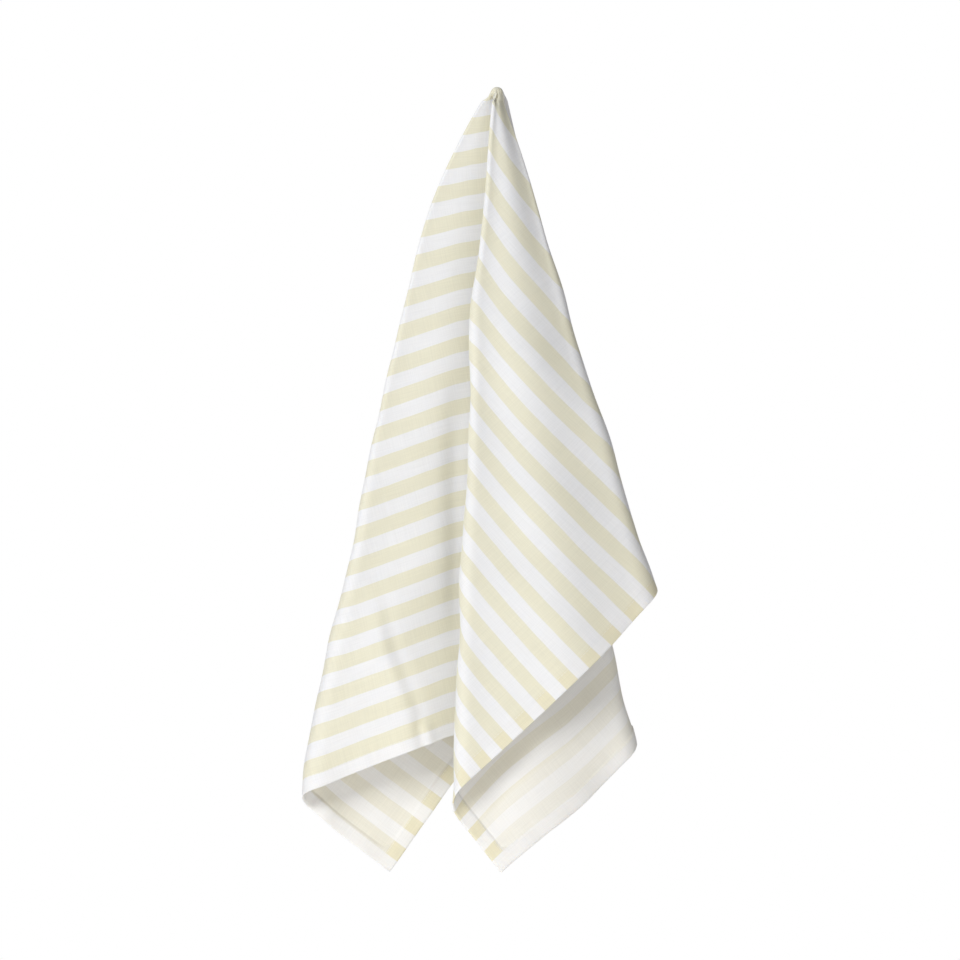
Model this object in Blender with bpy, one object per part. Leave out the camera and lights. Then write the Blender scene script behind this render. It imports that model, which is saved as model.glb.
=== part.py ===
"""Striped tea towel, hung from one point near the middle of a long side.

The towel is one cut piece of cloth, hemmed on its four sides. Its own weight draws it into pleats that
all start at the tip. Each pleat is a row of the table FOLDS, and the sheet between two pleats is a panel.

Places on the cloth are polar about the hanging point: a distance along the cloth, and an angle that is 0
straight down to the far long side, +90 along the top side to the right and -90 along it to the left.
All that lies at one distance is a band, which runs round the pleats like a belt round pulleys. How far it
hangs down follows from the length of cloth above it.

Units are metres. +Z is up, -Y is the front, and +X is to the right seen from the front. The origin is
under the tip, where the towel hangs.
"""

from collections import namedtuple
from math import pi

import bpy
import numpy as np

# ---- the cut cloth, laid flat -------------------------------------------------------------------------
WIDTH = 0.700                      # along the stripes
HEIGHT = 0.500                     # across the stripes
HANG_FROM_LEFT = 0.330             # hanging point, from the left short side
HANG_FROM_TOP = 0.014              # hanging point, from the top long side
THICKNESS = 0.0010

LEFT_RUN = HANG_FROM_LEFT
RIGHT_RUN = WIDTH - HANG_FROM_LEFT
DROP = HEIGHT - HANG_FROM_TOP

# ---- how the pleats fall ------------------------------------------------------------------------------
SETTLE = 0.125                     # cloth length over which a pleat swings from its top lean to its low one
REACH = 0.500                      # distance at which depths and radii are stated
OPENING_POWER = 1.15               # depths grow with this power of the distance
ROUNDING_POWER = 1.6               # and radii with this one
LAYER_PITCH = 0.0016               # spacing of the layers in the gathered tip
SMALLEST_ROUNDING = 0.0010
CROWN_RADIUS = 0.0050              # half the width of the tip's rounded crown
CROWN = CROWN_RADIUS * pi / 2      # cloth length from the tip to the rim of the crown
UNGATHERED = 0.003                 # cloth length at which the pleats begin to form
GATHERED = 0.017                   # cloth length at which they are fully formed
FLATTEST_FALL = 0.15               # least drop for each unit of cloth, on the crown

# Pleats in the order in which the sheet meets them, from the right half of its top side to the left half.
#   points   side to which the pleat points: 1 right, -1 left, 0 for a free side of the cloth
#   turn     which way the sheet turns round it, seen from above: 1 anticlockwise, -1 clockwise
#   top, low cloth angle near the tip and well below it, in degrees
#   lean_top, lean_low  sideways lean of its outer face near the tip and well below it, + to the right
#   crown    its direction on the crown, in degrees anticlockwise from the right
#   tip_x, level        its sideways place in the gathered tip, and its depth there in layers
#   depth, radius       at REACH
Fold = namedtuple("Fold", "name points turn top low lean_top lean_low crown tip_x level depth radius")
FOLDS = [
    Fold("right_edge", 0, 0, 90.0, 90.0, 8.0, 9.0, 40.0, 0.0040, 5.9, 0.112, 0.0),
    Fold("right_back", -1, 1, 88.0, 79.0, 4.0, 0.5, 15.0, 0.0014, 5.0, 0.105, 0.0045),
    Fold("right_side", 1, -1, 78.0, 63.5, 22.6, 15.3, -55.0, -0.0008, 0.5, -0.004, 0.0200),
    Fold("front_ridge", -1, -1, 49.0, 42.2, -7.0, -2.4, -98.0, -0.0018, -4.6, -0.044, 0.0085),
    Fold("inner_right", 1, 1, 30.0, 24.0, 9.5, 11.6, -120.0, -0.0006, -0.2, 0.006, 0.0160),
    Fold("inner_left", -1, -1, 19.5, 12.1, -2.0, 2.5, -140.0, -0.0018, 0.7, 0.020, 0.0035),
    Fold("centre_right", 1, 1, 11.0, 2.4, 5.0, 12.0, -160.0, 0.0000, 2.3, 0.036, 0.0040),
    Fold("left_side", -1, -1, -29.0, -26.1, -35.9, -9.9, -190.0, -0.0029, 1.4, 0.016, 0.0100),
    Fold("left_back", 1, 1, -52.0, -50.0, -6.0, 11.0, -215.0, -0.0004, 3.6, 0.078, 0.0060),
    Fold("last_left", -1, -1, -76.0, -76.0, -22.0, -11.0, -235.0, -0.0028, 4.9, 0.088, 0.0045),
    Fold("left_edge", 0, 0, -90.0, -90.0, -8.0, 2.0, -255.0, -0.0008, 5.7, 0.095, 0.0),
]
NAMES = [fold.name for fold in FOLDS]

# How far the panel after a pleat stands out of the straight line: + to the back, at REACH, the share of its
# width at which it does so most, and the power of the distance with which it grows.
Belly = namedtuple("Belly", "depth peak power")
FLAT_PANEL = Belly(0.0, 0.5, 1.0)
BELLIES = {
    "right_back": Belly(0.010, 0.50, 1.0),
    "right_side": Belly(-0.012, 0.45, 0.6),
    "front_ridge": Belly(-0.008, 0.45, 1.0),
    "centre_right": Belly(-0.007, 0.65, 1.0),
    "left_side": Belly(-0.004, 0.50, 1.0),
}

# Where a pleat strays from its smooth line: + to the right, most at one distance, less for width around it.
Sway = namedtuple("Sway", "fold distance width right")
SWAYS = [
    Sway("right_side", 0.205, 0.120, -0.0055),
    Sway("inner_right", 0.540, 0.090, 0.0030),
    Sway("left_side", 0.100, 0.050, -0.0020),
    Sway("left_side", 0.200, 0.050, 0.0015),
    Sway("left_side", 0.345, 0.060, 0.0025),
    Sway("left_side", 0.500, 0.060, -0.0045),
    Sway("front_ridge", 0.550, 0.080, 0.0015),
]

# Give of the weave: hanging length for each unit of cut length, by cloth angle in degrees.
Give = namedtuple("Give", "angle factor")
GIVES = [
    Give(-90.0, 1.000),
    Give(-50.0, 1.020),
    Give(-34.0, 1.050),
    Give(-30.0, 1.055),
    Give(-26.0, 1.050),
    Give(-13.0, 1.008),
    Give(2.0, 0.995),
    Give(24.0, 0.965),
    Give(31.0, 0.984),
    Give(37.0, 0.980),
    Give(42.0, 0.993),
    Give(55.0, 1.004),
    Give(60.0, 1.001),
    Give(63.5, 0.984),
    Give(90.0, 1.000),
]

# The narrow strip above the hanging point stands back from the tip, and turns to the right lower down.
STRIP_TIP_TURN = 0.10              # its turn to the right at the tip, in radians
STRIP_TIP_LENGTH = 0.014           # cloth length over which that turn fades
STRIP_TURN_LENGTH = 0.236          # cloth length over which it comes to point to the right
STRIP_RISE = 0.15                  # its rise lower down, for each unit of its width
STRIP_DROOP = 0.20                 # its droop at the tip
STRIP_ARCH = 0.0012                # height of the arch that it makes there
STRIP_ARCH_LENGTH = 0.020

# ---- mesh steps ---------------------------------------------------------------------------------------
ARC_STEPS = 2                      # steps round each half of a pleat
PANEL_STEPS = 4                    # steps across the flat of each panel
STRIP_STEPS = 2
TIP_ROWS = [0.0, 0.002, 0.004, 0.006, 0.009, 0.012, 0.016, 0.020, 0.026, 0.036, 0.050]
LOWER_ROWS = 14
SEARCH_STEPS = 40

FIRST_HALF, FLAT, LAST_HALF = range(3)
ARC_WAY = 0.15                     # share of the way between two pleats that a half pleat has on the crown
COTTON = (0.86, 0.84, 0.76, 1.0)


def smooth(value):
    value = np.clip(value, 0.0, 1.0)
    return value * value * (3 - 2 * value)


def settle(distance, top, low):
    """Value that is top at the tip and settles at low below it."""
    return low + (top - low) * np.exp(-distance / SETTLE)


def sideways_run(distance, lean_top, lean_low):
    """Sideways place of a line whose lean settles from lean_top to lean_low."""
    top, low = np.sin(np.radians([lean_top, lean_low]))
    return low * distance + (top - low) * SETTLE * (1 - np.exp(-distance / SETTLE))


def pleat_places(distance):
    """Cloth angle, place and radius of every gathered pleat, one row for each pleat, at each distance."""
    growth = (distance / REACH) ** OPENING_POWER
    angle, x, y, radius = [], [], [], []
    for fold in FOLDS:
        rounding = SMALLEST_ROUNDING + fold.radius * (distance / REACH) ** ROUNDING_POWER
        leaning_x = fold.tip_x + sideways_run(distance, fold.lean_top, fold.lean_low)
        for sway in SWAYS:
            if sway.fold == fold.name:
                leaning_x = leaning_x + sway.right * np.exp(-((distance - sway.distance) / sway.width) ** 2)
        angle.append(np.radians(settle(distance, fold.top, fold.low)))
        x.append(leaning_x - fold.points * rounding)
        y.append(fold.level * LAYER_PITCH * (1 - growth) + fold.depth * growth)
        radius.append(rounding * fold.turn)
    return np.array(angle), np.array(x), np.array(y), np.array(radius)


def belt(distance):
    """The pleated band at each distance: pleat places, radii, headings and lengths of the flats, turns."""
    angle, x, y, radius = pleat_places(distance)
    step_x, step_y = np.diff(x, axis=0), np.diff(y, axis=0)
    apart = np.hypot(step_x, step_y)
    lean = np.clip((radius[:-1] - radius[1:]) / apart, -0.98, 0.98)
    heading = np.arctan2(step_y, step_x) + np.arcsin(lean)
    flat = apart * np.sqrt(1 - lean * lean)
    turned = np.zeros_like(x)
    turned[1:-1] = np.diff(heading, axis=0)
    turned = np.where(radius > 0, turned % (2 * pi), turned % (2 * pi) - 2 * pi)
    turned = np.where(radius == 0, 0, turned)
    return angle, x, y, radius, heading, flat, turned


def place_on_crown(fold, part, share, distance):
    """Sideways place and depth of points on the crown, and the share of the way to the next pleat."""
    start = np.choose(part, [0.0, ARC_WAY, 1 - ARC_WAY])
    way = start + share * np.choose(part, [ARC_WAY, 1 - 2 * ARC_WAY, ARC_WAY])
    crown = np.radians([row.crown for row in FOLDS])
    direction = crown[fold] * (1 - way) + crown[fold + 1] * way
    out = CROWN_RADIUS * np.sin(np.clip(distance / CROWN, 0, 1) * pi / 2)
    return out * np.cos(direction), out * np.sin(direction), way


def place(fold, part, share, distance):
    """Sideways place, depth and cloth angle of points of the band.

    fold is the pleat before each point, part the half pleat or flat that it is on, share its place there.
    """
    angle, x, y, radius, heading, flat, turned = belt(distance)
    point = np.arange(distance.size)
    following = fold + 1
    ahead = heading[fold, point]
    length = flat[fold, point]
    first = np.abs(radius[fold, point] * turned[fold, point]) / 2
    last = np.abs(radius[following, point] * turned[following, point]) / 2
    along = np.choose(part, [share * first, first + share * length, first + length + share * last])

    centre = np.where(part == LAST_HALF, following, fold)
    swing = np.choose(part, [-turned[fold, point] * (1 - share), 0 * share, turned[following, point] * share])
    facing = ahead + swing / 2
    out = radius[centre, point]
    on_flat = (part == FLAT) * share * length
    depth, peak, power = np.array([BELLIES.get(name, FLAT_PANEL) for name in NAMES])[fold].T
    swell = depth * (distance / REACH) ** power * np.sin(pi * share ** (np.log(0.5) / np.log(peak))) ** 2
    pleat_x = x[centre, point] + out * np.sin(facing) + on_flat * np.cos(ahead)
    pleat_y = y[centre, point] - out * np.cos(facing) + on_flat * np.sin(ahead) + (part == FLAT) * swell

    crown_x, crown_y, way = place_on_crown(fold, part, share, distance)
    formed = smooth((distance - UNGATHERED) / (GATHERED - UNGATHERED))
    way = way * (1 - formed) + along / (first + length + last) * formed
    cloth_angle = angle[fold, point] * (1 - way) + angle[following, point] * way
    return crown_x * (1 - formed) + pleat_x * formed, crown_y * (1 - formed) + pleat_y * formed, cloth_angle


def cloth_reach(cloth_angle):
    """Cloth length from the hanging point to the rim of the cut cloth."""
    down = np.maximum(np.cos(cloth_angle), 1e-6)
    across = np.sin(cloth_angle)
    side = np.where(across > 0, RIGHT_RUN, LEFT_RUN) / np.maximum(np.abs(across), 1e-6)
    return np.minimum(DROP / down, side)


def corner_share(name, run):
    """Share of the flat after the named pleat at which the line to a far corner of the cloth lies."""
    distance = np.array([np.hypot(DROP, run)])
    fold = NAMES.index(name)
    angle, _, _, radius, _, flat, turned = belt(distance)
    first = abs(radius[fold, 0] * turned[fold, 0]) / 2
    last = abs(radius[fold + 1, 0] * turned[fold + 1, 0]) / 2
    share = (angle[fold, 0] - np.arctan2(run, DROP)) / (angle[fold, 0] - angle[fold + 1, 0])
    return (share * (first + flat[fold, 0] + last) - first) / flat[fold, 0]


def columns():
    """Lines that run from the tip to the rim, as rows of pleat number, part and share."""
    corners = {
        "front_ridge": corner_share("front_ridge", RIGHT_RUN),
        "left_side": corner_share("left_side", -LEFT_RUN),
    }
    rows = []
    for fold, name in enumerate(NAMES[:-1]):
        flats = [step / PANEL_STEPS for step in range(PANEL_STEPS + 1)]
        if name in corners:
            corner = corners[name]
            flats = [share for share in flats if abs(share - corner) > 0.4 / PANEL_STEPS or share in (0, 1)]
            flats = sorted(flats + [corner])
        if FOLDS[fold].turn:
            rows += [(fold, FIRST_HALF, step / ARC_STEPS) for step in range(ARC_STEPS)]
        rows += [(fold, FLAT, share) for share in flats]
        if FOLDS[fold + 1].turn:
            rows += [(fold, LAST_HALF, step / ARC_STEPS) for step in range(1, ARC_STEPS)]
    return rows


def column_ends(fold, part, share):
    """Distance at which each line meets the rim, found by halving the search range."""
    near = np.full(fold.size, 0.2)
    far = np.full(fold.size, 0.7)
    for _ in range(SEARCH_STEPS):
        middle = (near + far) / 2
        _, _, cloth_angle = place(fold, part, share, middle)
        inside = middle < cloth_reach(cloth_angle)
        near = np.where(inside, middle, near)
        far = np.where(inside, far, middle)
    return near


def sheet_grid():
    """Middle surface of the cloth between the two halves of its top side: rows of points, tip to rim."""
    table = columns()
    fold = np.array([row[0] for row in table])
    part = np.array([row[1] for row in table])
    share = np.array([row[2] for row in table], float)
    ends = column_ends(fold, part, share)
    lower = np.linspace(0, 1, LOWER_ROWS + 1)[1:, None]
    tip = np.array(TIP_ROWS)[:, None] + 0 * ends
    distance = np.vstack([tip, TIP_ROWS[-1] + (ends - TIP_ROWS[-1]) * lower])

    rows = len(distance)
    x, y, angle = place(np.tile(fold, rows), np.tile(part, rows), np.tile(share, rows), distance.ravel())
    x, y, angle = (values.reshape(distance.shape) for values in (x, y, angle))
    factor = np.interp(np.degrees(angle), [row.angle for row in GIVES], [row.factor for row in GIVES])
    outward = np.diff(distance, axis=0)
    length = (outward * factor[1:]) ** 2 + (distance[1:] * np.diff(angle, axis=0)) ** 2
    fall = length - np.diff(x, axis=0) ** 2 - np.diff(y, axis=0) ** 2
    fall = np.sqrt(np.maximum(fall, (FLATTEST_FALL * outward) ** 2))
    z = np.zeros_like(x)
    z[1:] = -np.cumsum(fall, axis=0)
    return np.stack([x, y, z], axis=2), distance


def strip_beyond(edge, distance, share):
    """Points of the strip above the hanging point, at a share of its width beyond an edge line."""
    turn = pi / 2 * np.tanh(distance / STRIP_TURN_LENGTH)
    turn += STRIP_TIP_TURN * np.exp(-distance / STRIP_TIP_LENGTH)
    at_tip = np.exp(-distance / STRIP_ARCH_LENGTH)
    rise = STRIP_RISE - (STRIP_RISE + STRIP_DROOP) * at_tip
    direction = np.stack([np.sin(turn), np.cos(turn), rise], axis=1)
    points = edge + HANG_FROM_TOP * share * direction
    points[:, 2] += STRIP_ARCH * at_tip * np.sin(pi * share)
    return points


def towel_mesh():
    """Middle surface of the whole cloth, with the strip's two halves joined behind the tip."""
    grid, distance = sheet_grid()
    shares = [step / STRIP_STEPS for step in range(1, STRIP_STEPS + 1)]
    right = [strip_beyond(grid[:, 0], distance[:, 0], share) for share in shares[::-1]]
    left = [strip_beyond(grid[:, -1], distance[:, -1], share) for share in shares]
    lines = right + list(grid.transpose(1, 0, 2)) + left
    count, rows = len(lines), len(grid)

    points = [tuple(lines[0][0] * 0)]
    seam = {}
    for step, share in enumerate(shares):
        seam[STRIP_STEPS - 1 - step] = seam[count - STRIP_STEPS + step] = len(points)
        points.append(tuple(left[step][0]))
    number = {}
    for column, line in enumerate(lines):
        number[column, 0] = seam.get(column, 0)
        for row in range(1, rows):
            number[column, row] = len(points)
            points.append(tuple(line[row]))

    faces = []
    for column in range(count - 1):
        for row in range(rows - 1):
            corners = [number[column, row], number[column, row + 1], number[column + 1, row + 1],
                       number[column + 1, row]]
            faces.append(list(dict.fromkeys(corners)))
    mesh = bpy.data.meshes.new("towel")
    mesh.from_pydata([(x, y, z + THICKNESS / 2) for x, y, z in points], [], faces)
    mesh.update()
    return mesh


def cotton():
    material = bpy.data.materials.new("striped cotton")
    material.use_nodes = True
    shader = material.node_tree.nodes["Principled BSDF"]
    shader.inputs["Base Color"].default_value = COTTON
    shader.inputs["Roughness"].default_value = 0.9
    shader.inputs["Metallic"].default_value = 0.0
    return material


def build():
    for item in list(bpy.data.objects):
        bpy.data.objects.remove(item, do_unlink=True)
    towel = bpy.data.objects.new("towel", towel_mesh())
    bpy.context.scene.collection.objects.link(towel)
    towel.data.materials.append(cotton())
    towel.data.shade_smooth()
    sheet = towel.modifiers.new("cloth thickness", "SOLIDIFY")
    sheet.thickness = THICKNESS
    sheet.offset = 0.0


build()
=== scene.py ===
"""Striped tea towel hung from one point: the cloth of the frame, dressed.

The towel is one hemmed piece of cotton. Its pleats all start at the tip, one row of FOLDS for each, as in
the solid. Here the same sheet is laid on a finer grid and gets its hems, creases, weave and stripes. A few
pleats, bellies and sways differ from the solid's by some millimetres, to follow the cloth more closely.

Places on the cloth are polar about the hanging point: a distance along the cloth, and an angle that is 0
straight down to the far long side, +90 along the top side to the right and -90 along it to the left.
Units are metres. +Z is up, -Y is the front, and +X is to the right seen from the front.
"""

from collections import namedtuple
from math import pi

import bpy
import numpy as np
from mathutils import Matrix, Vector


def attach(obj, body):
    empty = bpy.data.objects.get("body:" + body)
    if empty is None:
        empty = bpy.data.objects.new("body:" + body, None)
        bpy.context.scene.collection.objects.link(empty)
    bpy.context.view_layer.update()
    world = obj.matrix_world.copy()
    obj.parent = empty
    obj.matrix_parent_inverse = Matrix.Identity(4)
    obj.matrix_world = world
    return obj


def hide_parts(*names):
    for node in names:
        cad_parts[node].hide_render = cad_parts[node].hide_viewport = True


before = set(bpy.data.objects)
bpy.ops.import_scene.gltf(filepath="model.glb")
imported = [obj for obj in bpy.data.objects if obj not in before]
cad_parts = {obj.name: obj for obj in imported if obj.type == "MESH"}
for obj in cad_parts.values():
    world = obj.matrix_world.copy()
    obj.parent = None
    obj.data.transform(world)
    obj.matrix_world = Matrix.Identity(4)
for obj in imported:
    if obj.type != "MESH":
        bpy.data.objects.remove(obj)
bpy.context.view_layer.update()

# ---- the cut cloth, laid flat -------------------------------------------------------------------------
WIDTH = 0.700                      # along the stripes
HEIGHT = 0.500                     # across the stripes
HANG_FROM_LEFT = 0.330             # hanging point, from the left short side
HANG_FROM_TOP = 0.014              # hanging point, from the top long side
LEFT_RUN = HANG_FROM_LEFT
RIGHT_RUN = WIDTH - HANG_FROM_LEFT
DROP = HEIGHT - HANG_FROM_TOP

CLOTH_THICKNESS = 0.0006
RIM_ROUNDING = 0.0012              # width over which the rim is rounded off
RIM_THINNEST = 0.08                # square of the share of the thickness that is left at the rim
HEM_THICKNESS = 0.0008             # what the turned cloth adds on the reverse
HEM_WIDTH = 0.0112
HEM_STEP = 0.0005                  # width of the step at the hem's inner edge
HEM_STARTS = 0.030                 # distance from the tip over which the hems come to their thickness
SOLID_THICKNESS = 0.0010           # the frame's sheet, whose underside at the tip is the origin

# ---- how the pleats fall ------------------------------------------------------------------------------
SETTLE = 0.125                     # cloth length over which a pleat swings from its top lean to its low one
REACH = 0.500                      # distance at which depths and radii are stated
OPENING_POWER = 1.15               # depths grow with this power of the distance
ROUNDING_POWER = 1.6               # and radii with this one
RIDGE_ROUNDING_POWER = 1.0         # but the front ridge's radius with this one
LAYER_PITCH = 0.0016               # spacing of the layers in the gathered tip
SMALLEST_ROUNDING = 0.0010
CROWN_RADIUS = 0.0050              # half the width of the tip's rounded crown
CROWN = CROWN_RADIUS * pi / 2      # cloth length from the tip to the rim of the crown
UNGATHERED = 0.003                 # cloth length at which the pleats begin to form
GATHERED = 0.017                   # cloth length at which they are fully formed
FLATTEST_FALL = 0.15               # least drop for each unit of cloth, on the crown
STEEPEST_LEAN = 0.98               # most that two radii may differ, for each unit between their centres

# Pleats in the order in which the sheet meets them, from the right half of its top side to the left half.
#   points   side to which the pleat points: 1 right, -1 left, 0 for a free side of the cloth
#   turn     which way the sheet turns round it, seen from above: 1 anticlockwise, -1 clockwise
#   top, low cloth angle near the tip and well below it, in degrees
#   lean_top, lean_low  sideways lean of its outer face near the tip and well below it, + to the right
#   crown    its direction on the crown, in degrees anticlockwise from the right
#   tip_x, level        its sideways place in the gathered tip, and its depth there in layers
#   depth, radius       at REACH
#   steps    columns of the grid across the panel that follows it
Fold = namedtuple("Fold", "name points turn top low lean_top lean_low crown tip_x level depth radius steps")
FOLDS = [
    Fold("right_edge", 0, 0, 90.0, 90.0, 8.0, 9.0, 40.0, 0.0040, 5.9, 0.112, 0.0, 6),
    Fold("right_back", -1, 1, 88.0, 79.0, 4.0, 0.5, 15.0, 0.0014, 5.0, 0.105, 0.0045, 16),
    Fold("right_side", 1, -1, 78.0, 63.5, 22.6, 15.3, -55.0, -0.0008, 0.5, -0.004, 0.0200, 36),
    Fold("front_ridge", -1, -1, 49.0, 42.2, -7.0, -2.4, -98.0, -0.0018, -4.6, -0.044, 0.0085, 30),
    Fold("inner_right", 1, 1, 30.0, 24.0, 9.5, 11.6, -120.0, -0.0006, -0.2, 0.006, 0.0110, 10),
    Fold("inner_left", -1, -1, 19.5, 12.1, -2.0, 2.5, -140.0, -0.0018, 0.7, 0.020, 0.0035, 10),
    Fold("centre_right", 1, 1, 11.0, 2.4, 5.0, 12.0, -160.0, 0.0000, 2.3, 0.036, 0.0040, 70),
    Fold("left_side", -1, -1, -29.0, -26.1, -35.9, -9.9, -190.0, -0.0029, 1.4, 0.016, 0.0100, 42),
    Fold("left_back", 1, 1, -52.0, -50.0, -6.0, 11.0, -215.0, -0.0004, 3.6, 0.078, 0.0060, 13),
    Fold("last_left", -1, -1, -76.0, -76.0, -22.0, -11.0, -235.0, -0.0028, 4.9, 0.088, 0.0045, 12),
    Fold("left_edge", 0, 0, -90.0, -90.0, -8.0, 2.0, -255.0, -0.0008, 5.7, 0.095, 0.0, 0),
]
NAMES = [fold.name for fold in FOLDS]

# How far the panel after a pleat stands out of the straight line: + to the back, at REACH, the share of its
# width at which it does so most, and the power of the distance with which it grows.
Belly = namedtuple("Belly", "depth peak power")
FLAT_PANEL = Belly(0.0, 0.5, 1.0)
BELLIES = {
    "right_back": Belly(0.010, 0.50, 1.0),
    "right_side": Belly(-0.012, 0.45, 0.6),
    "front_ridge": Belly(-0.009, 0.50, 1.0),
    "centre_right": Belly(-0.007, 0.65, 1.0),
    "left_side": Belly(-0.004, 0.50, 1.0),
}

# Where a pleat strays from its smooth line: + to the right, most at one distance, less for width around it.
Sway = namedtuple("Sway", "fold distance width right")
SWAYS = [
    Sway("right_side", 0.215, 0.120, -0.0078),
    Sway("inner_right", 0.540, 0.090, 0.0030),
    Sway("left_side", 0.100, 0.050, -0.0020),
    Sway("left_side", 0.200, 0.050, 0.0015),
    Sway("left_side", 0.345, 0.060, 0.0025),
    Sway("left_side", 0.500, 0.060, -0.0045),
    Sway("front_ridge", 0.550, 0.080, 0.0015),
    Sway("front_ridge", 0.085, 0.040, 0.0014),
    Sway("front_ridge", 0.175, 0.035, -0.0022),
    Sway("front_ridge", 0.300, 0.050, 0.0010),
]

# Give of the weave: hanging length for each unit of cut length, by cloth angle in degrees.
Give = namedtuple("Give", "angle factor")
GIVES = [
    Give(-90.0, 1.000),
    Give(-50.0, 1.020),
    Give(-34.0, 1.050),
    Give(-30.0, 1.055),
    Give(-26.0, 1.050),
    Give(-13.0, 1.008),
    Give(2.0, 0.995),
    Give(24.0, 0.965),
    Give(31.0, 0.984),
    Give(37.0, 0.980),
    Give(42.0, 0.993),
    Give(55.0, 1.004),
    Give(60.0, 1.001),
    Give(63.5, 0.984),
    Give(90.0, 1.000),
]

# The narrow strip above the hanging point stands back from the tip, and turns to the right lower down.
STRIP_TIP_TURN = 0.10              # its turn to the right at the tip, in radians
STRIP_TIP_LENGTH = 0.014           # cloth length over which that turn fades
STRIP_TURN_LENGTH = 0.236          # cloth length over which it comes to point to the right
STRIP_RISE = 0.15                  # its rise lower down, for each unit of its width
STRIP_DROOP = 0.20                 # its droop at the tip
STRIP_ARCH = 0.0012                # height of the arch that it makes there
STRIP_ARCH_LENGTH = 0.020

# The stripes drift down across the weave where the hanging cloth is drawn out of square: by this much, in mm,
# at 60, 250 and 450 mm from the tip, by cloth angle in degrees.
Drift = namedtuple("Drift", "angle near middle far")
DRIFT_AT_TIP = 1.5
DRIFT_DISTANCES = [0.000, 0.060, 0.250, 0.450]
DRIFTS = [
    Drift(-90, 4.0, 4.0, 4.0),
    Drift(-40, 4.0, 6.0, 3.0),
    Drift(-27, 7.0, 10.0, 2.0),
    Drift(-15, 5.0, 6.5, 2.5),
    Drift(-4, 4.0, 3.5, 2.0),
    Drift(24, 4.0, 4.0, 3.0),
    Drift(38, 4.0, 5.0, -0.5),
    Drift(40.5, 4.0, 5.5, 1.5),
    Drift(41.5, 4.0, 6.5, 4.5),
    Drift(43, 4.0, 8.0, 12.0),
    Drift(45, 3.0, 9.0, 14.0),
    Drift(63, 6.0, 13.0, 18.0),
    Drift(90, 4.0, 4.0, 4.0),
]

# ---- grid steps ---------------------------------------------------------------------------------------
ARC_STEPS = 4                      # steps round each half of a pleat
ARC_WAY = 0.15                     # share of the way between two pleats that a half pleat has on the crown
TIP_ROWS = [0, 1, 2, 3, 4, 5, 6, 7.5, 9, 10.5, 12, 14, 16, 18, 20, 23, 26, 30, 35, 42, 50]     # mm
LOWER_ROWS = 116                   # steps from the last of those to the first row of the hem
HEM_ROWS = [15, 13.5, 12.5, 12.0, 11.2, 9.5, 7.0, 4.0, 1.8, 0.6, 0]       # mm inside the rim
STRIP_ROWS = [1.4, 2.0, 2.6, 4.0, 6.5, 9.0, 11.5, 13.2, 14.0]             # mm above the tip
CORNER_CLEAR = 0.6                 # steps that other columns keep from the one to a corner of the cloth
SEARCH_RANGE = (0.2, 0.7)          # shortest and longest cloth length that may lead from the tip to the rim
SEARCH_STEPS = 36
FIRST_HALF, FLAT, LAST_HALF = range(3)

# ---- creases and waves of the cloth -------------------------------------------------------------------
# Places on the cloth are in mm: to the right of the hanging point, and down from it.
#   height   of a soft ridge out of the face, or of a trough where it is negative, in mm
#   bend     how sharply the cloth is folded along the line, in degrees, + where it stands out of the face
#   width    of the ridge or of the bend's rounding; the bend's sides flatten out over BEND_REACH
#   fade     length over which each end runs out, unless it meets the rim
BEND_REACH = 26.0
Crease = namedtuple("Crease", "name height bend width fade points")
CREASES = [
    Crease("pressed fold, lower left", 0, 28, 2.2, 60, [(-148, 340), (-147, 404), (-141, 440), (-133, 492)]),
    Crease("hollow beside it", -1.4, 0, 5, 60, [(-140, 340), (-139, 404), (-133, 440), (-125, 492)]),
    Crease("trough behind the ridge", -3.0, 0, 9, 90, [(-44, 200), (-70, 310), (-82, 372), (-98, 455)]),
    Crease("pressed fold, upper right", 0, 7, 2.0, 40, [(100, 117), (186, 120), (250, 124)]),
    Crease("pressed fold, lower right", 0, 8, 2.0, 60, [(215, 247), (295, 248), (372, 247)]),
    Crease("fold of the right corner", 0, 6, 3.0, 20, [(290, 212), (355, 232)]),
    Crease("hem pucker, lower left", 2.4, 0, 3.4, 12, [(-127, 462), (-126, 490)]),
    Crease("its hollow", -2.2, 0, 3.4, 12, [(-135, 460), (-133, 490)]),
    Crease("wrinkle of the left corner", 3.0, 0, 4.5, 14, [(-254, 464), (-257, 490)]),
    Crease("its hollow", -2.6, 0, 4.5, 14, [(-264, 464), (-268, 490)]),
    Crease("slack fold, left inside", 1.5, 0, 10, 30, [(-300, 400), (-312, 447), (-322, 482)]),
    Crease("roll of the right side", 0, 13, 9.0, 60, [(109, 51), (221, 117), (308, 167)]),
    Crease("crumple beside the tip", -2.6, 0, 2.0, 5, [(4, 3), (15, 10)]),
    Crease("knob of the tip", 1.5, 0, 2.0, 4, [(6, 2), (14, 5)]),
    Crease("slack fold, right inside", 0, -8, 5.0, 30, [(226, 380), (230, 434), (238, 490)]),
]
WAVE_HEIGHT = 0.0007
WAVE_STARTS = 0.060                # cloth length from the tip to where waves begin
WAVE_FULL = 0.260                  # and to where they have their full height
Wave = namedtuple("Wave", "height length angle shift")
WAVES = [
    Wave(0.9, 0.131, 12, 0.3),
    Wave(0.7, 0.083, 78, 1.9),
    Wave(0.5, 0.059, 41, 4.1),
    Wave(0.4, 0.047, 128, 2.7),
]
HEM_RIPPLE = 0.0004                # height of the ripples that the stitching leaves along the hems
HEM_RIPPLE_LENGTH = 0.034
HEM_RIPPLE_REACH = 0.016
HEM_RIPPLE_SLANT = 0.6             # how much a place lower down counts beside one to the right
RIPPLE_WANDER_OVER = (0.006, 41)   # how far ripples stray along the hem, and how often, by the place across
RIPPLE_WANDER_DOWN = (0.005, 57)   # and by the place down

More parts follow.
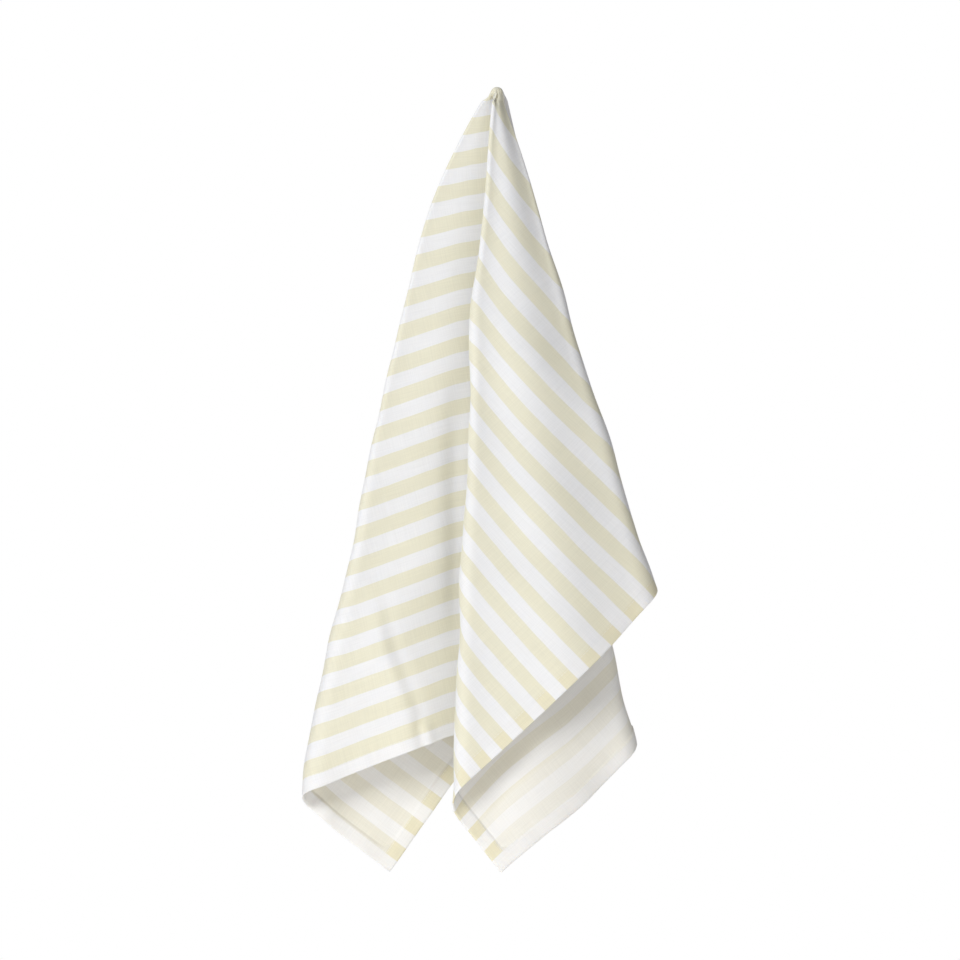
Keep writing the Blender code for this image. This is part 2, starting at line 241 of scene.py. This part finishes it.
# ---- stripes and weave --------------------------------------------------------------------------------
STRIPE = 0.0116                    # width of a stripe, and of the white between two
PLAIN_BORDER = 0.0122              # white band along each long side
STRIPE_EDGE = 0.0005               # width over which one colour turns into the other
STRIPE_WANDER = 0.00035            # how far a stripe's edge strays
WANDER_SCALE = 60.0                # strays to the metre
HEM_EDGE = 0.0003                  # softness of the hem colour's edge
STITCH_INSET = 0.0104              # line of stitches, from the rim
STITCH_WIDTH = 0.0005
STITCH_LENGTH = 0.0032
STITCH_EDGE = 0.0002
STITCH_STRENGTH = 0.45             # how much of the thread's colour shows
DASH_HALF = 0.40                   # half of a dash, as a share of the stitch length
DASH_EDGE = 0.1
GROOVE_HALF = 0.0012               # half the width of the groove that the stitches pull
GROOVE_EDGE = 0.0018
# painted shade: how much darker the colour of the stitches' groove is made
GROOVE_PAINTED_SHADE = 0.015
WEAVE_PITCH = 0.0009
YARN_STRETCH = (40.0, 1400.0)      # streaks to the metre along and across the yarns
YARN_CONTRAST = 0.10
SOIL_SCALE = 14.0
SOIL_CONTRAST = 0.05
WEAVE_HEIGHT = 0.00006
YARN_HEIGHT = 0.0004
GROOVE_DEPTH = 0.00008
STITCH_HEIGHT = 0.00010
BUMP_STRENGTH = 0.8
ROUGHNESS = (1.15, -0.3)           # at no yarn, and what the yarns add
COTTON = {
    "Specular IOR Level": 0.15,
    "Subsurface Weight": 0.35,
    "Subsurface Radius": (1.0, 0.92, 0.80),
    "Subsurface Scale": 0.0012,
    "Sheen Weight": 0.10,
    "Sheen Roughness": 0.5,
}
FLOOR = {
    "Base Color": (0.95, 0.95, 0.945, 1),
    "Roughness": 0.8,
    "Emission Color": (1, 1, 0.99, 1),
    "Emission Strength": 0.16,
}

WHITE = (0.845, 0.845, 0.855)
YELLOW = (0.790, 0.762, 0.618)
HEM_YELLOW = (0.785, 0.745, 0.570)
REVERSE_WHITE = (0.850, 0.842, 0.825)
REVERSE_YELLOW = (0.797, 0.773, 0.685)
THREAD = (0.88, 0.88, 0.87)

# Painted light: where the reverse is brightly lit and light shines through it, its stripes are painted paler.
# They fade by this share towards white below one line and to the right of another: place of the line on the
# cloth, from its top or left side, and softness.
PAINTED_LIGHT_SHARE = 0.40
PAINTED_LIGHT_BELOW = (0.456, 0.004)
PAINTED_LIGHT_RIGHT = (0.500, 0.060)


def smooth(value):
    """Soft step from 0 to 1."""
    value = np.clip(value, 0.0, 1.0)
    return value * value * (3 - 2 * value)


def settle(distance, top, low):
    """Value that is top at the tip and settles at low below it."""
    return low + (top - low) * np.exp(-distance / SETTLE)


def sideways_run(distance, lean_top, lean_low):
    """Sideways place of a line whose lean settles from lean_top to lean_low."""
    top, low = np.sin(np.radians([lean_top, lean_low]))
    return low * distance + (top - low) * SETTLE * (1 - np.exp(-distance / SETTLE))


def pleat_places(distance):
    """Cloth angle, place and radius of every gathered pleat, one row for each pleat, at each distance."""
    growth = (distance / REACH) ** OPENING_POWER
    angle, x, y, radius = [], [], [], []
    for fold in FOLDS:
        power = RIDGE_ROUNDING_POWER if fold.name == "front_ridge" else ROUNDING_POWER
        rounding = SMALLEST_ROUNDING + fold.radius * (distance / REACH) ** power
        leaning_x = fold.tip_x + sideways_run(distance, fold.lean_top, fold.lean_low)
        for sway in SWAYS:
            if sway.fold == fold.name:
                leaning_x = leaning_x + sway.right * np.exp(-((distance - sway.distance) / sway.width) ** 2)
        angle.append(np.radians(settle(distance, fold.top, fold.low)))
        x.append(leaning_x - fold.points * rounding)
        y.append(fold.level * LAYER_PITCH * (1 - growth) + fold.depth * growth)
        radius.append(rounding * fold.turn)
    return np.array(angle), np.array(x), np.array(y), np.array(radius)


def belt(distance):
    """The pleated band at each distance: pleat places, radii, headings and lengths of the flats, turns."""
    angle, x, y, radius = pleat_places(distance)
    step_x, step_y = np.diff(x, axis=0), np.diff(y, axis=0)
    apart = np.hypot(step_x, step_y)
    lean = np.clip((radius[:-1] - radius[1:]) / apart, -STEEPEST_LEAN, STEEPEST_LEAN)
    heading = np.arctan2(step_y, step_x) + np.arcsin(lean)
    flat = apart * np.sqrt(1 - lean * lean)
    turned = np.zeros_like(x)
    turned[1:-1] = np.diff(heading, axis=0)
    turned = np.where(radius > 0, turned % (2 * pi), turned % (2 * pi) - 2 * pi)
    turned = np.where(radius == 0, 0, turned)
    return angle, x, y, radius, heading, flat, turned


def place_on_crown(fold, part, share, distance):
    """Sideways place and depth of points on the crown, and the share of the way to the next pleat."""
    start = np.choose(part, [0.0, ARC_WAY, 1 - ARC_WAY])
    way = start + share * np.choose(part, [ARC_WAY, 1 - 2 * ARC_WAY, ARC_WAY])
    crown = np.radians([row.crown for row in FOLDS])
    direction = crown[fold] * (1 - way) + crown[fold + 1] * way
    out = CROWN_RADIUS * np.sin(np.clip(distance / CROWN, 0, 1) * pi / 2)
    return out * np.cos(direction), out * np.sin(direction), way


def place(fold, part, share, distance):
    """Sideways place, depth and cloth angle of points of the band.

    fold is the pleat before each point, part the half pleat or flat that it is on, share its place there.
    """
    angle, x, y, radius, heading, flat, turned = belt(distance)
    point = np.arange(distance.size)
    following = fold + 1
    ahead = heading[fold, point]
    length = flat[fold, point]
    first = np.abs(radius[fold, point] * turned[fold, point]) / 2
    last = np.abs(radius[following, point] * turned[following, point]) / 2
    along = np.choose(part, [share * first, first + share * length, first + length + share * last])

    centre = np.where(part == LAST_HALF, following, fold)
    swing = np.choose(part, [-turned[fold, point] * (1 - share), 0 * share, turned[following, point] * share])
    facing = ahead + swing / 2
    out = radius[centre, point]
    on_flat = (part == FLAT) * share * length
    depth, peak, power = np.array([BELLIES.get(name, FLAT_PANEL) for name in NAMES])[fold].T
    swell = depth * (distance / REACH) ** power * np.sin(pi * share ** (np.log(0.5) / np.log(peak))) ** 2
    pleat_x = x[centre, point] + out * np.sin(facing) + on_flat * np.cos(ahead)
    pleat_y = y[centre, point] - out * np.cos(facing) + on_flat * np.sin(ahead) + (part == FLAT) * swell

    crown_x, crown_y, way = place_on_crown(fold, part, share, distance)
    formed = smooth((distance - UNGATHERED) / (GATHERED - UNGATHERED))
    way = way * (1 - formed) + along / (first + length + last) * formed
    cloth_angle = angle[fold, point] * (1 - way) + angle[following, point] * way
    return crown_x * (1 - formed) + pleat_x * formed, crown_y * (1 - formed) + pleat_y * formed, cloth_angle


def cloth_reach(cloth_angle, inset=0.0):
    """Cloth length from the hanging point to a line that lies inset inside the rim of the cut cloth."""
    down = np.maximum(np.cos(cloth_angle), 1e-6)
    across = np.sin(cloth_angle)
    side = (np.where(across > 0, RIGHT_RUN, LEFT_RUN) - inset) / np.maximum(np.abs(across), 1e-6)
    return np.minimum((DROP - inset) / down, side)


def corner_share(name, run):
    """Share of the flat after the named pleat at which the line to a far corner of the cloth lies."""
    distance = np.array([np.hypot(DROP, run)])
    fold = NAMES.index(name)
    angle, _, _, radius, _, flat, turned = belt(distance)
    first = abs(radius[fold, 0] * turned[fold, 0]) / 2
    last = abs(radius[fold + 1, 0] * turned[fold + 1, 0]) / 2
    share = (angle[fold, 0] - np.arctan2(run, DROP)) / (angle[fold, 0] - angle[fold + 1, 0])
    return (share * (first + flat[fold, 0] + last) - first) / flat[fold, 0]


def columns():
    """Lines that run from the tip to the rim: arrays of pleat number, part and share."""
    corners = {
        "front_ridge": corner_share("front_ridge", RIGHT_RUN),
        "left_side": corner_share("left_side", -LEFT_RUN),
    }
    rows = []
    for number, fold in enumerate(FOLDS[:-1]):
        flats = [step / fold.steps for step in range(fold.steps + 1)]
        if fold.name in corners:
            corner = corners[fold.name]
            clear = CORNER_CLEAR / fold.steps
            flats = [share for share in flats if abs(share - corner) > clear or share in (0, 1)]
            flats = sorted(flats + [corner])
        if fold.turn:
            rows += [(number, FIRST_HALF, step / ARC_STEPS) for step in range(ARC_STEPS)]
        rows += [(number, FLAT, share) for share in flats]
        if FOLDS[number + 1].turn:
            rows += [(number, LAST_HALF, step / ARC_STEPS) for step in range(1, ARC_STEPS)]
    fold, part, share = zip(*rows)
    return np.array(fold), np.array(part), np.array(share, float)


def distance_at(fold, part, share, inset):
    """Distance at which each column meets a line inset inside the rim, by halving the search range."""
    near, far = (np.full(fold.size, limit) for limit in SEARCH_RANGE)
    for _ in range(SEARCH_STEPS):
        middle = (near + far) / 2
        _, _, cloth_angle = place(fold, part, share, middle)
        inside = middle < cloth_reach(cloth_angle, inset)
        near = np.where(inside, middle, near)
        far = np.where(inside, far, middle)
    return near


def sheet_grid():
    """Middle surface between the two halves of the top side: points, distances and cloth angles."""
    fold, part, share = columns()
    tip = np.array(TIP_ROWS)[:, None] / 1000 + 0 * share
    hem = np.array([distance_at(fold, part, share, inset / 1000) for inset in HEM_ROWS])
    lower = np.linspace(0, 1, LOWER_ROWS + 1)[1:-1, None]
    distance = np.vstack([tip, tip[-1] + (hem[0] - tip[-1]) * lower, hem])

    rows = len(distance)
    x, y, angle = place(np.tile(fold, rows), np.tile(part, rows), np.tile(share, rows), distance.ravel())
    x, y, angle = (values.reshape(distance.shape) for values in (x, y, angle))
    factor = np.interp(np.degrees(angle), [row.angle for row in GIVES], [row.factor for row in GIVES])
    outward = np.diff(distance, axis=0)
    length = (outward * factor[1:]) ** 2 + (distance[1:] * np.diff(angle, axis=0)) ** 2
    fall = length - np.diff(x, axis=0) ** 2 - np.diff(y, axis=0) ** 2
    fall = np.sqrt(np.maximum(fall, (FLATTEST_FALL * outward) ** 2))
    z = np.zeros_like(x)
    z[1:] = -np.cumsum(fall, axis=0)
    return np.stack([x, y, z + SOLID_THICKNESS / 2], axis=2), distance, angle


def strip_beyond(edge, distance, share):
    """Points of the strip above the hanging point, at a share of its width beyond an edge line."""
    turn = pi / 2 * np.tanh(distance / STRIP_TURN_LENGTH)
    turn += STRIP_TIP_TURN * np.exp(-distance / STRIP_TIP_LENGTH)
    at_tip = np.exp(-distance / STRIP_ARCH_LENGTH)
    rise = STRIP_RISE - (STRIP_RISE + STRIP_DROOP) * at_tip
    direction = np.stack([np.sin(turn), np.cos(turn), rise], axis=1)
    points = edge + HANG_FROM_TOP * share * direction
    points[:, 2] += STRIP_ARCH * at_tip * np.sin(pi * share)
    return points


def whole_sheet():
    """Middle surface of the whole cloth, and the place of each point on the flat cloth, (right, down)."""
    grid, distance, angle = sheet_grid()
    flat = np.stack([distance * np.sin(angle), distance * np.cos(angle)], axis=2)
    lines, flats = [], []
    for above in STRIP_ROWS[::-1]:
        lines.append(strip_beyond(grid[:, 0], distance[:, 0], above / 1000 / HANG_FROM_TOP))
        flats.append(np.stack([distance[:, 0], 0 * distance[:, 0] - above / 1000], axis=1))
    lines += list(grid.transpose(1, 0, 2))
    flats += list(flat.transpose(1, 0, 2))
    for above in STRIP_ROWS:
        lines.append(strip_beyond(grid[:, -1], distance[:, -1], above / 1000 / HANG_FROM_TOP))
        flats.append(np.stack([-distance[:, -1], 0 * distance[:, -1] - above / 1000], axis=1))
    points = np.array(lines)
    for step in range(len(STRIP_ROWS)):          # the two halves of the strip share their line at the tip
        points[step, 0] = points[-1 - step, 0]
    return points, np.array(flats)


def facing_of(points):
    """Unit normals of the middle surface, out of the cloth's face."""
    over = np.gradient(points, axis=0)
    down = np.gradient(points, axis=1)
    down[:, 0] = points[:, 1] - points[:, 0]
    over[:, 0] = over[:, 1]
    normal = np.cross(over, down)
    length = np.linalg.norm(normal, axis=2, keepdims=True)
    return normal / np.maximum(length, 1e-12)


def inside_rim(flat):
    """Distance of each place on the flat cloth from the nearest side."""
    right, down = flat[..., 0], flat[..., 1]
    return np.minimum.reduce([right + LEFT_RUN, RIGHT_RUN - right, down + HANG_FROM_TOP, DROP - down])


def drift_of(places):
    """How far the stripes lie below their place on the flat cloth."""
    distance = np.hypot(places[:, 0], places[:, 1])
    angle = np.degrees(np.arctan2(places[:, 0], np.maximum(places[:, 1], 0)))
    drift_angles, *drifts_below = zip(*DRIFTS)
    drifts = [[DRIFT_AT_TIP] * len(DRIFTS)] + drifts_below
    at_angle = [np.interp(angle, drift_angles, drifts_there) for drifts_there in drifts]
    drift = np.zeros(len(places))
    for step in range(len(DRIFT_DISTANCES)):
        peak = np.zeros(len(DRIFT_DISTANCES))
        peak[step] = 1
        drift += at_angle[step] * np.interp(distance, DRIFT_DISTANCES, peak)
    return drift / 1000


def crease_height(flat, crease):
    """Height that a crease adds: full along its line, running out beside it and past its ends."""
    place_mm = flat * 1000
    line = np.array(crease.points, float)
    lengths = np.linalg.norm(np.diff(line, axis=0), axis=1)
    nearest = np.full(flat.shape[:2], 1e9)
    along = np.zeros(flat.shape[:2])
    run = 0.0
    for start, end, length in zip(line[:-1], line[1:], lengths):
        share = np.clip((place_mm - start) @ (end - start) / length ** 2, 0, 1)
        beside = np.linalg.norm(place_mm - start - share[..., None] * (end - start), axis=2)
        along = np.where(beside < nearest, run + share * length, along)
        nearest = np.minimum(beside, nearest)
        run += length
    fade_in = smooth(along / crease.fade)
    meets_rim = inside_rim(line[-1] / 1000) < HEM_WIDTH
    fade_out = 1.0 if meets_rim else smooth((run - along) / crease.fade)
    ridge = crease.height * np.exp(-(nearest / crease.width) ** 2)
    flank = np.tan(np.radians(crease.bend / 2)) * BEND_REACH
    tent = flank * np.exp((crease.width - np.hypot(nearest, crease.width)) / BEND_REACH)
    return (ridge + tent) * fade_in * fade_out / 1000


def swells(flat):
    """Height of the creases, slack waves and hem ripples over the middle surface."""
    right, down = flat[..., 0], flat[..., 1]
    height = sum(crease_height(flat, crease) for crease in CREASES)
    loose = smooth((np.hypot(right, down) - WAVE_STARTS) / (WAVE_FULL - WAVE_STARTS))
    for wave in WAVES:
        along = right * np.cos(np.radians(wave.angle)) + down * np.sin(np.radians(wave.angle))
        phase = 2 * pi * along / wave.length + wave.shift
        height = height + WAVE_HEIGHT * wave.height * loose * np.sin(phase)
    near_rim = np.exp(-inside_rim(flat) / HEM_RIPPLE_REACH)
    along = right + HEM_RIPPLE_SLANT * down
    for (stray, often), there in ((RIPPLE_WANDER_OVER, right), (RIPPLE_WANDER_DOWN, down)):
        along = along + stray * np.sin(there * often)
    return height + HEM_RIPPLE * near_rim * loose * np.sin(2 * pi * along / HEM_RIPPLE_LENGTH)


def shells():
    """Points of the face and of the reverse, and their places on the flat cloth."""
    middle, flat = whole_sheet()
    normal = facing_of(middle)
    middle = middle + normal * swells(flat)[..., None]
    normal = facing_of(middle)
    inside = inside_rim(flat)
    off_rim = 1 - np.clip(inside / RIM_ROUNDING, 0, 1)
    rounded = np.sqrt(np.clip(1 - off_rim ** 2, RIM_THINNEST, 1))
    turned = smooth((HEM_WIDTH + HEM_STEP - inside) / HEM_STEP)
    turned = turned * smooth(np.hypot(flat[..., 0], flat[..., 1]) / HEM_STARTS)
    half = CLOTH_THICKNESS / 2
    face = middle + normal * (half * rounded)[..., None]
    reverse = middle - normal * ((half + HEM_THICKNESS * turned) * rounded)[..., None]
    return face, reverse, flat


def towel_object():
    """The towel: face, reverse and rim in one closed mesh, with its places on the flat cloth as UV maps."""
    face, reverse, flat = shells()
    count, rows = flat.shape[:2]
    strip = len(STRIP_ROWS)

    # Each grid place has a number. The tip is one point, and the strip's two halves share its line there.
    numbers = np.zeros((count, rows), int)
    numbers[:, 1:] = 1 + strip + np.arange(count * (rows - 1)).reshape(count, rows - 1)
    for step in range(strip):
        numbers[step, 0] = numbers[count - 1 - step, 0] = 1 + step
    total = 1 + strip + count * (rows - 1)
    points = np.zeros((2 * total, 3))
    places = np.zeros((total, 2))
    for side, shell in enumerate((face, reverse)):
        points[side * total + numbers] = shell
    places[numbers] = flat
    points[0] = [0, 0, (SOLID_THICKNESS + CLOTH_THICKNESS) / 2]
    points[total] = [0, 0, (SOLID_THICKNESS - CLOTH_THICKNESS) / 2]

    # Faces, and the material slot of each: 0 the face with the rim, 1 the reverse.
    quads, sides = [], []
    for column in range(count - 1):
        for row in range(rows - 1):
            corners = [numbers[column, row], numbers[column, row + 1],
                       numbers[column + 1, row + 1], numbers[column + 1, row]]
            corners = list(dict.fromkeys(corners))
            quads.append(corners[::-1])
            sides.append(0)
            quads.append([total + corner for corner in corners])
            sides.append(1)
    rim = list(numbers[0, 1:]) + list(numbers[1:, -1]) + list(numbers[-1, 1:-1][::-1]) + [numbers[0, 0]]
    for here, after in zip(rim, rim[1:] + rim[:1]):
        quads.append([here, after, total + after, total + here])
        sides.append(0)

    mesh = bpy.data.meshes.new("hung_towel")
    mesh.from_pydata([tuple(point) for point in points], [], quads)
    mesh.polygons.foreach_set("material_index", sides)
    mesh.polygons.foreach_set("use_smooth", [True] * len(quads))
    corner_points = np.zeros(len(mesh.loops), int)
    mesh.loops.foreach_get("vertex_index", corner_points)
    drift = drift_of(places)
    places += [LEFT_RUN, HANG_FROM_TOP]
    mesh.uv_layers.new(name="cloth").data.foreach_set("uv", places[corner_points % total].ravel())
    places[:, 1] -= drift
    mesh.uv_layers.new(name="stripes").data.foreach_set("uv", places[corner_points % total].ravel())
    mesh.update()
    towel = bpy.data.objects.new("hung_towel", mesh)
    bpy.context.scene.collection.objects.link(towel)
    return towel


# ---- materials ----------------------------------------------------------------------------------------
class Graph:
    """Short names for the nodes of one material."""

    def __init__(self, name):
        self.material = bpy.data.materials.new(name)
        self.material.use_nodes = True
        self.tree = self.material.node_tree
        self.shader = self.tree.nodes["Principled BSDF"]

    def settings(self, values):
        for name, value in values.items():
            self.shader.inputs[name].default_value = value

    def put(self, value, socket):
        if isinstance(value, bpy.types.NodeSocket):
            self.tree.links.new(value, socket)
        else:
            socket.default_value = value

    def node(self, kind, **inputs):
        made = self.tree.nodes.new(kind)
        for name, value in inputs.items():
            self.put(value, made.inputs[name.replace("_", " ")])
        return made

    def uv(self, name):
        made = self.tree.nodes.new("ShaderNodeUVMap")
        made.uv_map = name
        return made.outputs[0]

    def math(self, operation, *values, clamp=False):
        made = self.tree.nodes.new("ShaderNodeMath")
        made.operation = operation
        made.use_clamp = clamp
        for value, socket in zip(values, made.inputs):
            self.put(value, socket)
        return made.outputs[0]

    def edge(self, distance, softness):
        """1 where distance is positive, 0 where it is negative, and a soft step between."""
        return self.math("MULTIPLY_ADD", distance, 1 / softness, 0.5, clamp=True)

    def mix(self, share, first, second):
        made = self.tree.nodes.new("ShaderNodeMix")
        made.data_type = "RGBA"
        self.put(share, made.inputs[0])
        self.put(first if isinstance(first, bpy.types.NodeSocket) else (*first, 1), made.inputs[6])
        self.put(second if isinstance(second, bpy.types.NodeSocket) else (*second, 1), made.inputs[7])
        return made.outputs[2]

    def noise(self, vector, scale, detail=2.0):
        return self.node("ShaderNodeTexNoise", Vector=vector, Scale=scale, Detail=detail).outputs[0]

    def streaks(self, vector, right, down):
        stretched = self.node("ShaderNodeMapping", Vector=vector, Scale=(right, down, 1.0))
        return self.noise(stretched.outputs[0], 1.0, 1.0)


def cotton(name, is_reverse):
    """Striped cotton, as its face or as its reverse shows it."""
    g = Graph(name)
    cloth = g.uv("cloth")
    split = g.node("ShaderNodeSeparateXYZ", Vector=cloth)
    across, down = split.outputs[0], split.outputs[1]
    printed = g.node("ShaderNodeSeparateXYZ", Vector=g.uv("stripes")).outputs[1]

    # Stripes, whose edges wander a little with the yarn.
    wander = g.math("MULTIPLY_ADD", g.noise(cloth, WANDER_SCALE), 2 * STRIPE_WANDER, -STRIPE_WANDER)
    wandering = g.math("ADD", printed, wander)
    period = g.math("MULTIPLY_ADD", wandering, 0.5 / STRIPE, 0.25 - PLAIN_BORDER * 0.5 / STRIPE)
    off_middle = g.math("ABSOLUTE", g.math("SUBTRACT", g.math("FRACT", period), 0.5))
    into_stripe = g.math("MULTIPLY_ADD", off_middle, -2 * STRIPE, 0.5 * STRIPE)
    striped = g.edge(into_stripe, STRIPE_EDGE)
    field = g.math("MULTIPLY", g.math("GREATER_THAN", printed, PLAIN_BORDER / 2),
                   g.math("LESS_THAN", printed, HEIGHT - PLAIN_BORDER / 2))
    striped = g.math("MULTIPLY", striped, field)

    # Distances from the sides, for the hems and their stitches.
    from_side = g.math("MINIMUM", across, g.math("SUBTRACT", WIDTH, across))
    from_end = g.math("MINIMUM", down, g.math("SUBTRACT", HEIGHT, down))
    from_rim = g.math("MINIMUM", from_side, from_end)
    on_side_hem = g.edge(g.math("SUBTRACT", HEM_WIDTH, from_side), HEM_EDGE)

    # Colours: the hems on the short sides are stronger, and on the reverse the stripes are painted paler in
    # one place, as painted light where it is brightly lit.
    white, yellow = WHITE, YELLOW
    if is_reverse:
        # painted light: the reverse's stripes fade towards white below one line and to the right of another
        lower = g.edge(g.math("SUBTRACT", down, PAINTED_LIGHT_BELOW[0]), PAINTED_LIGHT_BELOW[1])
        right = g.edge(g.math("SUBTRACT", across, PAINTED_LIGHT_RIGHT[0]), PAINTED_LIGHT_RIGHT[1])
        painted_light = g.math("MULTIPLY", g.math("MULTIPLY", lower, right), PAINTED_LIGHT_SHARE)
        white, yellow = REVERSE_WHITE, g.mix(painted_light, REVERSE_YELLOW, REVERSE_WHITE)
    colour = g.mix(striped, white, g.mix(on_side_hem, yellow, HEM_YELLOW))

    # Yarns: fine streaks both ways, and broad uneven patches.
    few, many = YARN_STRETCH
    yarns = g.math("ADD", g.streaks(cloth, few, many), g.streaks(cloth, many, few))
    yarns = g.math("MULTIPLY_ADD", yarns, YARN_CONTRAST, 1 - YARN_CONTRAST)
    soil = g.math("MULTIPLY_ADD", g.noise(cloth, SOIL_SCALE), SOIL_CONTRAST, 1 - SOIL_CONTRAST / 2)
    tone = g.math("MULTIPLY", yarns, soil)

    # Stitches along the hems, as dashes with a small gap.
    off_line = g.math("ABSOLUTE", g.math("SUBTRACT", from_rim, STITCH_INSET))
    line = g.edge(g.math("SUBTRACT", STITCH_WIDTH / 2, off_line), STITCH_EDGE)
    on_side = g.math("LESS_THAN", from_side, from_end)
    run = g.math("ADD", g.math("MULTIPLY", down, on_side),
                 g.math("MULTIPLY", across, g.math("SUBTRACT", 1.0, on_side)))
    in_stitch = g.math("FRACT", g.math("DIVIDE", run, STITCH_LENGTH))
    off_stitch = g.math("ABSOLUTE", g.math("SUBTRACT", in_stitch, 0.5))
    dash = g.edge(g.math("SUBTRACT", DASH_HALF, off_stitch), DASH_EDGE)
    stitch = g.math("MULTIPLY", line, g.math("MULTIPLY", dash, STITCH_STRENGTH))
    # The groove that the stitches pull: sunk in the height below, and its colour darkened a little as painted
    # shade.
    sunk = g.edge(g.math("SUBTRACT", GROOVE_HALF, off_line), GROOVE_EDGE)
    tone = g.math("MULTIPLY", tone, g.math("MULTIPLY_ADD", sunk, -GROOVE_PAINTED_SHADE, 1.0))
    toned = g.node("ShaderNodeVectorMath")
    toned.operation = "SCALE"
    g.put(colour, toned.inputs[0])
    g.put(tone, toned.inputs["Scale"])
    colour = g.mix(stitch, toned.outputs[0], THREAD)

    # Height: weave, yarns, stitches and the groove that they pull.
    turns = 2 * pi / WEAVE_PITCH
    over = g.math("SINE", g.math("MULTIPLY", across, turns))
    under = g.math("SINE", g.math("MULTIPLY", down, turns))
    weave = g.math("MULTIPLY", over, under)
    height = g.math("MULTIPLY_ADD", weave, WEAVE_HEIGHT, g.math("MULTIPLY", tone, YARN_HEIGHT))
    height = g.math("MULTIPLY_ADD", sunk, -GROOVE_DEPTH, height)
    height = g.math("MULTIPLY_ADD", stitch, STITCH_HEIGHT, height)
    bump = g.node("ShaderNodeBump", Height=height, Strength=BUMP_STRENGTH, Distance=1.0)

    g.put(colour, g.shader.inputs["Base Color"])
    g.put(bump.outputs[0], g.shader.inputs["Normal"])
    g.put(g.math("MULTIPLY_ADD", yarns, ROUGHNESS[1], ROUGHNESS[0]), g.shader.inputs["Roughness"])
    g.settings(COTTON)
    return g.material


def plain_floor():
    g = Graph("pale floor")
    g.settings(FLOOR)
    return g.material


# ---- the stage ----------------------------------------------------------------------------------------
CAMERA_FROM = 3.0                  # distance of the camera from the towel
PIXEL = 0.000764                   # width that one of the frame's 960 pixels covers at the towel
FRAME_PIXELS = 960
SENSOR = 36.0
LOOK_AT = (-0.0130, 0.0, -0.2995)
FLOOR_LEVEL = -1.30
FLOOR_RADIUS = 2.2
FLOOR_CORNERS = 96

# Lamps: round ones that look at the towel, in metres and watts.
Lamp = namedtuple("Lamp", "name place size power colour")
LAMPS = [
    Lamp("key", (-1.65, -2.3, 0.9), 1.4, 65.0, (1.00, 1.00, 1.00)),
    Lamp("low fill", (0.35, -1.0, -1.0), 0.9, 3.3, (1.00, 0.965, 0.92)),
    Lamp("back", (0.3, 2.2, 0.1), 1.6, 28.0, (1.00, 0.98, 0.95)),
]
SKY = 0.29                         # light from all sides; the camera sees plain white instead


def stage():
    """Camera, lamps, sky and floor."""
    scene = bpy.context.scene
    scene.view_settings.view_transform = "Standard"

    camera = bpy.data.objects.new("camera", bpy.data.cameras.new("camera"))
    camera.data.sensor_width = SENSOR
    camera.data.lens = SENSOR * CAMERA_FROM / (FRAME_PIXELS * PIXEL)
    camera.location = (LOOK_AT[0], -CAMERA_FROM, LOOK_AT[2])
    camera.rotation_euler = (pi / 2, 0, 0)
    scene.collection.objects.link(camera)
    scene.camera = camera

    for lamp in LAMPS:
        data = bpy.data.lights.new(lamp.name, "AREA")
        data.shape = "DISK"
        data.size = lamp.size
        data.energy = lamp.power
        data.color = lamp.colour
        made = bpy.data.objects.new(lamp.name, data)
        made.location = lamp.place
        away = Vector(lamp.place) - Vector(LOOK_AT)
        made.rotation_euler = away.to_track_quat("Z", "Y").to_euler()
        scene.collection.objects.link(made)

    world = bpy.data.worlds.new("white studio")
    world.use_nodes = True
    tree = world.node_tree
    sky = tree.nodes["Background"]
    sky.inputs[0].default_value = (1, 1, 1, 1)
    sky.inputs[1].default_value = SKY
    seen = tree.nodes.new("ShaderNodeBackground")
    seen.inputs[0].default_value = (1, 1, 1, 1)
    rays = tree.nodes.new("ShaderNodeLightPath")
    pick = tree.nodes.new("ShaderNodeMixShader")
    tree.links.new(rays.outputs["Is Camera Ray"], pick.inputs[0])
    tree.links.new(sky.outputs[0], pick.inputs[1])
    tree.links.new(seen.outputs[0], pick.inputs[2])
    tree.links.new(pick.outputs[0], tree.nodes["World Output"].inputs[0])
    scene.world = world

    around = np.linspace(0, 2 * pi, FLOOR_CORNERS + 1)[:-1]
    corners = [(FLOOR_RADIUS * np.cos(a), FLOOR_RADIUS * np.sin(a), FLOOR_LEVEL) for a in around]
    disc = bpy.data.meshes.new("floor")
    disc.from_pydata(corners, [], [list(range(FLOOR_CORNERS))])
    floor = bpy.data.objects.new("floor", disc)
    floor.data.materials.append(plain_floor())
    scene.collection.objects.link(floor)


stage()
towel = towel_object()
towel.data.materials.append(cotton("cotton face", False))
towel.data.materials.append(cotton("cotton reverse", True))
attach(towel, "root")
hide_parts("towel")
